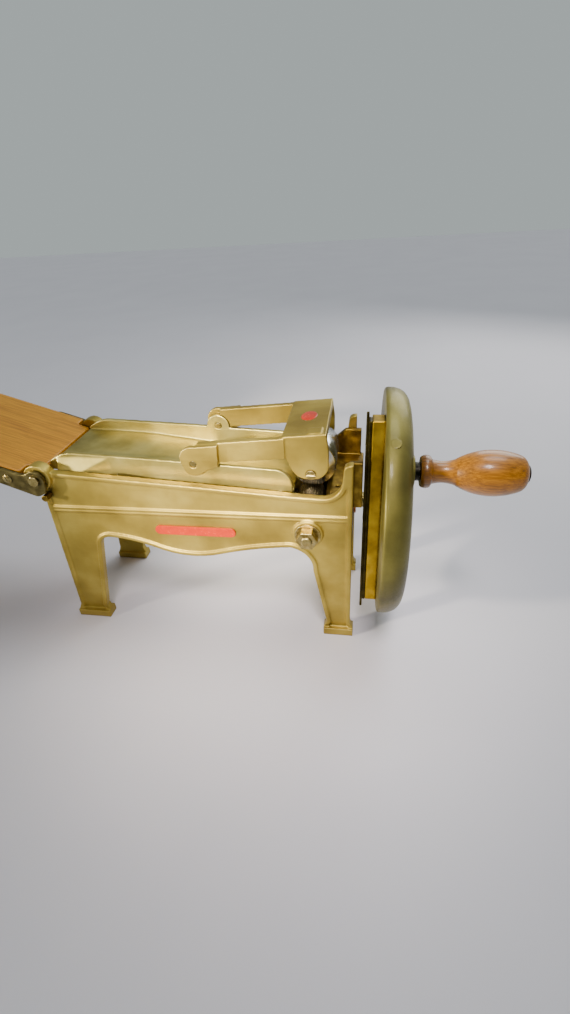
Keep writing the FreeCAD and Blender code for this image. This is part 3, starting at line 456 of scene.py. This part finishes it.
dots = add(repeat, "GeometryNodePoints", links={"Count": given["Count"], "Position": move.outputs[0]})
set_out = add(repeat, "GeometryNodeInstanceOnPoints", links={
    "Points": dots.outputs[0], "Instance": given["Piece"], "Rotation": angle.outputs[0]})
real = add(repeat, "GeometryNodeRealizeInstances", links={0: set_out.outputs[0]})
joined = add(repeat, "GeometryNodeMergeByDistance", {"Distance": 2 * WELD}, {"Geometry": real.outputs[0]})
dressed = add(repeat, "GeometryNodeSetMaterial", links={"Geometry": joined.outputs[0],
                                                        "Material": given["Finish"]})
add(repeat, "NodeGroupOutput", links={0: dressed.outputs[0]})


def repeated(name, mesh, count, finish, step_move=(0, 0, 0), step_turn=(0, 0, 0), spin_by=(0, 0, 0), seed=1):
    """One mesh set out count times by the repeat_piece nodes, as a plain mesh."""
    raw = show(name + "_raw", mesh)
    nodes = raw.modifiers.new("repeat", "NODES")
    nodes.node_group = repeat
    for label, value in {"Count": count, "Step Move": step_move, "Step Turn": step_turn, "Spin": spin_by,
                         "Seed": seed, "Finish": finish}.items():
        nodes[SOCKETS[label]] = value
    raw.update_tag()
    done = settled(raw)
    done.materials.clear()
    done.materials.append(finish)
    return done


def merged(name, *meshes):
    """Several meshes as one."""
    shape = bmesh.new()
    for mesh in meshes:
        shape.from_mesh(mesh)
    whole = bpy.data.meshes.new(name)
    shape.to_mesh(whole)
    shape.free()
    return whole


plated_steel = metal("plated_turned_steel", "C6B67C", "AA985C", "84723E", 0.32, patch=3, worn="E8DAA0",
                     corner_shade="30260E")
HEAD = [(-3.6, 0), (-3.6, 2.4), (0, 2.4), (0, 4), (0.5, 4), (1.0, 3.5), (1.3, 2.4), (1.4, 1.2), (1.42, 0)]
screws = []
for side in (-1, 1):
    row = repeated("screw_row", slotted("screw", HEAD, 0.9, 0.6, 4), 2, plated_steel,
                   step_move=(SCREW_STEP, 0, 0), spin_by=LOOSE_TURN, seed=5 + side)
    first = HINGE + ALONG * SCREW_FIRST - NORMAL * SCREW_DROP + Vector((0, side * STRAP_FACE, 0))
    out = Vector((0, side, 0))
    row.transform(Matrix.Translation(first) @ axes(ALONG, out.cross(ALONG), out))
    screws.append(row)
stand_in(show("strap_screw_set", merged("strap_screw_set", *screws), plated_steel), "board", "strap_screws")

# ------------------------------------------------------------------ pins, studs and nuts
# Turned steel, plated and dulled by handling. The two big nuts clamp the gear cradle between the side
# frames, and the threads of its studs show past them.
for node in ("hinge_pins", "arm_pivot_pins", "stud_washers", "roller_collars", "feed_axle", "main_shaft"):
    give(node, plated_steel)
# The stop pegs take the same darker casting finish, whose tones are painted shade.
give("stop_pegs", shade_darkened_casting)
soft_copy("frame_nuts", "stud_nuts", "frame", plated_steel, 0.3, 3)
soft_copy("slotted_roller_pin", "roller_pin", "press_arm", plated_steel, 0.3, 1)
STUD_RADIUS = 4.3
STUD_TIP = 63.4
STUD = [(-26, 0), (-26, STUD_RADIUS), (-9.2, STUD_RADIUS)]
for ridge in range(2):
    STUD += [(ridge - 1.9, STUD_RADIUS), (ridge - 1.5, 3.8), (ridge - 1.1, STUD_RADIUS)]
STUD += [(0, 3.5), (0.35, 2.2), (0.45, 0)]
studs = []
for side in (-1, 1):
    tip = Vector((150, side * STUD_TIP, 119)) * MM
    studs.append(laid(turned("stud_end", STUD), Vector((0, side, 0)), tip))
stand_in(show("threaded_studs", merged("threaded_studs", *studs), plated_steel), "frame", "cradle_studs")

# ------------------------------------------------------------------ feed roller
# Two dark fluted steel sleeves grip the food from below; their bores sit on the feed axle. A bronze wheel
# between them is driven by the worm on the main shaft.
oiled_steel = metal("oiled_dark_steel", "6A5E48", "4C4232", "2E271C", 0.32, patch=4, worn="B8A880",
                    corner_shade="140F08")
FLUTES = 32
SLEEVE_LONG = 25
SLEEVE_OUT = 11.5
SLEEVE_BORE = 4.0
SLEEVE_BEVEL = 0.5
FEED_X = 150
FEED_Z = 137
FLUTE_DEEP = 0.9
FLUTE_SHAPE = [(-1, 0), (-0.5, 0), (-0.3, 0.6), (-0.12, 1), (0.12, 1), (0.3, 0.6), (0.5, 0), (1, 0)]


def fluted_sleeve(name):
    """One flute's sector of the sleeve along Z, set out around the axis and joined."""
    half = math.pi / FLUTES
    shape = bmesh.new()

    def point(radius, part, high):
        return shape.verts.new((radius * MM * math.cos(part * half), radius * MM * math.sin(part * half),
                                high * MM))

    rings = []
    for high, shrink in ((0, SLEEVE_BEVEL), (SLEEVE_BEVEL, 0), (SLEEVE_LONG - SLEEVE_BEVEL, 0),
                         (SLEEVE_LONG, SLEEVE_BEVEL)):
        rings.append([point(SLEEVE_OUT - shrink - depth * FLUTE_DEEP, part, high)
                      for part, depth in FLUTE_SHAPE])
    bores = [[point(SLEEVE_BORE, part, high) for part in (-1, 1)] for high in (0, SLEEVE_LONG)]
    for low, high in zip(rings, rings[1:]):
        for a, b, c, d in zip(low, low[1:], high[1:], high):
            shape.faces.new((a, b, c, d))
    shape.faces.new((bores[0][1], bores[0][0], bores[1][0], bores[1][1]))
    shape.faces.new([bores[0][0], bores[0][1]] + rings[0][::-1])
    shape.faces.new([bores[1][1], bores[1][0]] + rings[-1])
    mesh = bpy.data.meshes.new(name + "_sector")
    shape.to_mesh(mesh)
    shape.free()
    return repeated(name, mesh, FLUTES, oiled_steel, step_turn=(0, 0, 2 * half))


for hand, start in (("near", -33), ("far", 8)):
    sleeve_name = hand + "_fluted_sleeve"
    sleeve = laid(fluted_sleeve(sleeve_name), Vector((0, 1, 0)), Vector((FEED_X, start, FEED_Z)) * MM)
    stand_in(show(sleeve_name, sleeve, oiled_steel), "feed_roller", "feed_sleeve_" + hand)
give("worm", oiled_steel)
bronze = metal("bearing_bronze", "D08A50", "B8703A", "8E5226", 0.3, patch=4, worn="F0B080", corner_shade="40220E")
for node in ("main_bush", "inner_bush", "worm_wheel"):
    give(node, bronze)

# ------------------------------------------------------------------ press roller
# Smooth bright turned steel with rounded ends and fine turning marks. It turns on its pin in the arm and
# presses the food down on the feed roller.
bright_steel = metal("bright_turned_steel", "F2F2EE", "DEDEDA", "BCBCB8", 0.2, patch=6, lines=0.8)
PRESS_ROLLER = [
    (-21, 4.08), (-21, 18.3), (-20.7, 19.1), (-19.9, 19.5),
    (19.9, 19.5), (20.7, 19.1), (21, 18.3), (21, 4.08), (-21, 4.08),
]
roller = laid(turned("smooth_press_roller", PRESS_ROLLER, steps=128), Vector((0, 1, 0)),
              Vector((152.5, 0, 169.5)) * MM)
stand_in(show("smooth_press_roller", roller, bright_steel), "press_roller", "press_roller")

# ------------------------------------------------------------------ flywheel
# A turned casting under grey-olive lacquer, with a deep dish and a rounded rim. It carries the knife on
# its inner face and the crank pin on a boss in its outer one.
SHAFT_HEIGHT = 123
CRANK_OUT = -50
CRANK_HEIGHT = 182
lacquer = metal("olive_lacquered_casting", "867E3A", "6E672C", "544E20", 0.5, patch=40, wear_mm=0,
                coat=0.15, metallic=0.65)
WHEEL = [
    (205, 7), (205, 16.4), (205.6, 17), (210, 17), (210, 98.2), (210.4, 99.2), (211.3, 99.8), (213, 100),
    (215, 99.93), (217, 99.75), (219, 99.4), (221, 98.8), (223, 97.95), (225, 96.7), (226.7, 95.2),
    (228.2, 93.3), (229.4, 91), (230.3, 88.2), (230.85, 85.2), (231, 82), (230.8, 79.4), (230.1, 77.4),
    (228.9, 75.9), (227.2, 74.8), (225, 74), (219, 70.6), (217.7, 69.6), (217.1, 68.4), (217, 67),
    (217, 24), (217.4, 22.4), (218.6, 20.8), (220.4, 19), (221.3, 17.8), (221.8, 17), (225.5, 17),
    (226, 16.5), (226, 7), (205, 7),
]
CRANK_BOSS = [(212, 4.9), (212, 12), (231, 12), (231.4, 11.8), (231.6, 11.4), (231.6, 4.9), (212, 4.9)]
axle = Vector((1, 0, 0))
wheel = laid(turned("wheel", WHEEL, steps=256, crease=40), axle, Vector((0, 0, SHAFT_HEIGHT)) * MM)
boss = laid(turned("crank_boss", CRANK_BOSS, steps=96), axle, Vector((0, CRANK_OUT, CRANK_HEIGHT)) * MM)
stand_in(show("turned_flywheel", merged("turned_flywheel", wheel, boss), lacquer), "cutter", "flywheel")
PLUG = [(-8, 0), (-8, 4.2), (0, 4.2), (0.3, 4.1), (0.42, 3.8), (0.46, 3), (0.46, 0)]
PLUG_TURN = math.radians(33)
PLUG_SEAT = 99.7 * MM
outward = Vector((0, -math.sin(PLUG_TURN), math.cos(PLUG_TURN)))
plug = laid(turned("plug", PLUG), outward, Vector((217, 0, SHAFT_HEIGHT)) * MM + outward * PLUG_SEAT)
stand_in(show("rim_plug_button", plug, lacquer), "cutter", "rim_plug")
soft_copy("shaft_nut", "hub_nut", "cutter", plated_steel, 0.3, 3)

# ------------------------------------------------------------------ knife, clamp and holder
# A ground steel knife, dark on its back, lies under a dark clamp bar. Three slotted screws hold both to a
# gold-toned bar on the flywheel.
blade_steel = metal("ground_knife_steel", "50451F", "3C3417", "28220E", 0.34, patch=8, lines=0.8, line_axis=2,
                    worn="8A7C48", corner_shade="120E04")
soft_copy("ground_knife", "knife", "cutter", blade_steel, 0.4, 1)
gold_casting = metal("gold_toned_casting", "D4B034", "B89422", "927216", 0.36, patch=14, worn="F0DA7C",
                     corner_shade="3E2E08")
soft_copy("knife_clamp_bar", "knife_clamp", "cutter", blade_steel, 0.45, 1)
soft_copy("knife_holder_bar", "knife_holder", "cutter", gold_casting, 0.6, 3)
KNIFE_TOP = Vector((0, -20.5, 220)) * MM
KNIFE_FOOT = Vector((0, -38, 34)) * MM
CHORD = (KNIFE_TOP - KNIFE_FOOT).normalized()
ASIDE = Vector((0, CHORD.z, -CHORD.y))
KNIFE_LONG = (KNIFE_TOP - KNIFE_FOOT).length
BOLT_FIRST = 0.14 * KNIFE_LONG
BOLT_STEP = 0.36 * KNIFE_LONG
BOLT_INSET = 4 * MM
BOLT_SEAT = 218 * MM
BOLT = [(-22.9, 0), (-22.9, 2.6), (0, 2.6), (0, 4.4), (0.9, 4.4), (1.5, 3.8), (1.8, 2.4), (1.9, 0)]
bolts = repeated("knife_bolts", slotted("bolt", BOLT, 1.0, 0.9, 5), 3, plated_steel,
                 step_move=(BOLT_STEP, 0, 0), spin_by=LOOSE_TURN, seed=3)
first = KNIFE_FOOT + CHORD * BOLT_FIRST - ASIDE * BOLT_INSET + axle * BOLT_SEAT
bolts.transform(Matrix.Translation(first) @ axes(CHORD, axle.cross(CHORD), axle))
stand_in(show("knife_bolt_set", bolts, plated_steel), "cutter", "knife_screws")

# ------------------------------------------------------------------ crank pin, grip and end cap
# A blacked steel pin stands on the flywheel's boss. The grip on it is turned hardwood under thick
# golden-brown varnish, darker at the collar, with a blacked cap over the pin's end.
blacked_steel = metal("blacked_steel", "34312A", "24221D", "161512", 0.38, patch=4, worn="6A665A")
give("crank_pin", blacked_steel)
give("grip_cap", blacked_steel)
grip_wood = wood("varnished_turned_grip", "BE7C02", "A86A00", "805000", turn=(0, 0, 0), across_mm=1.3,
                 along_mm=45, rough=0.38, coat=0.4, coat_rough=0.14, stain_mm=(236, 256))
give("crank_grip", grip_wood)
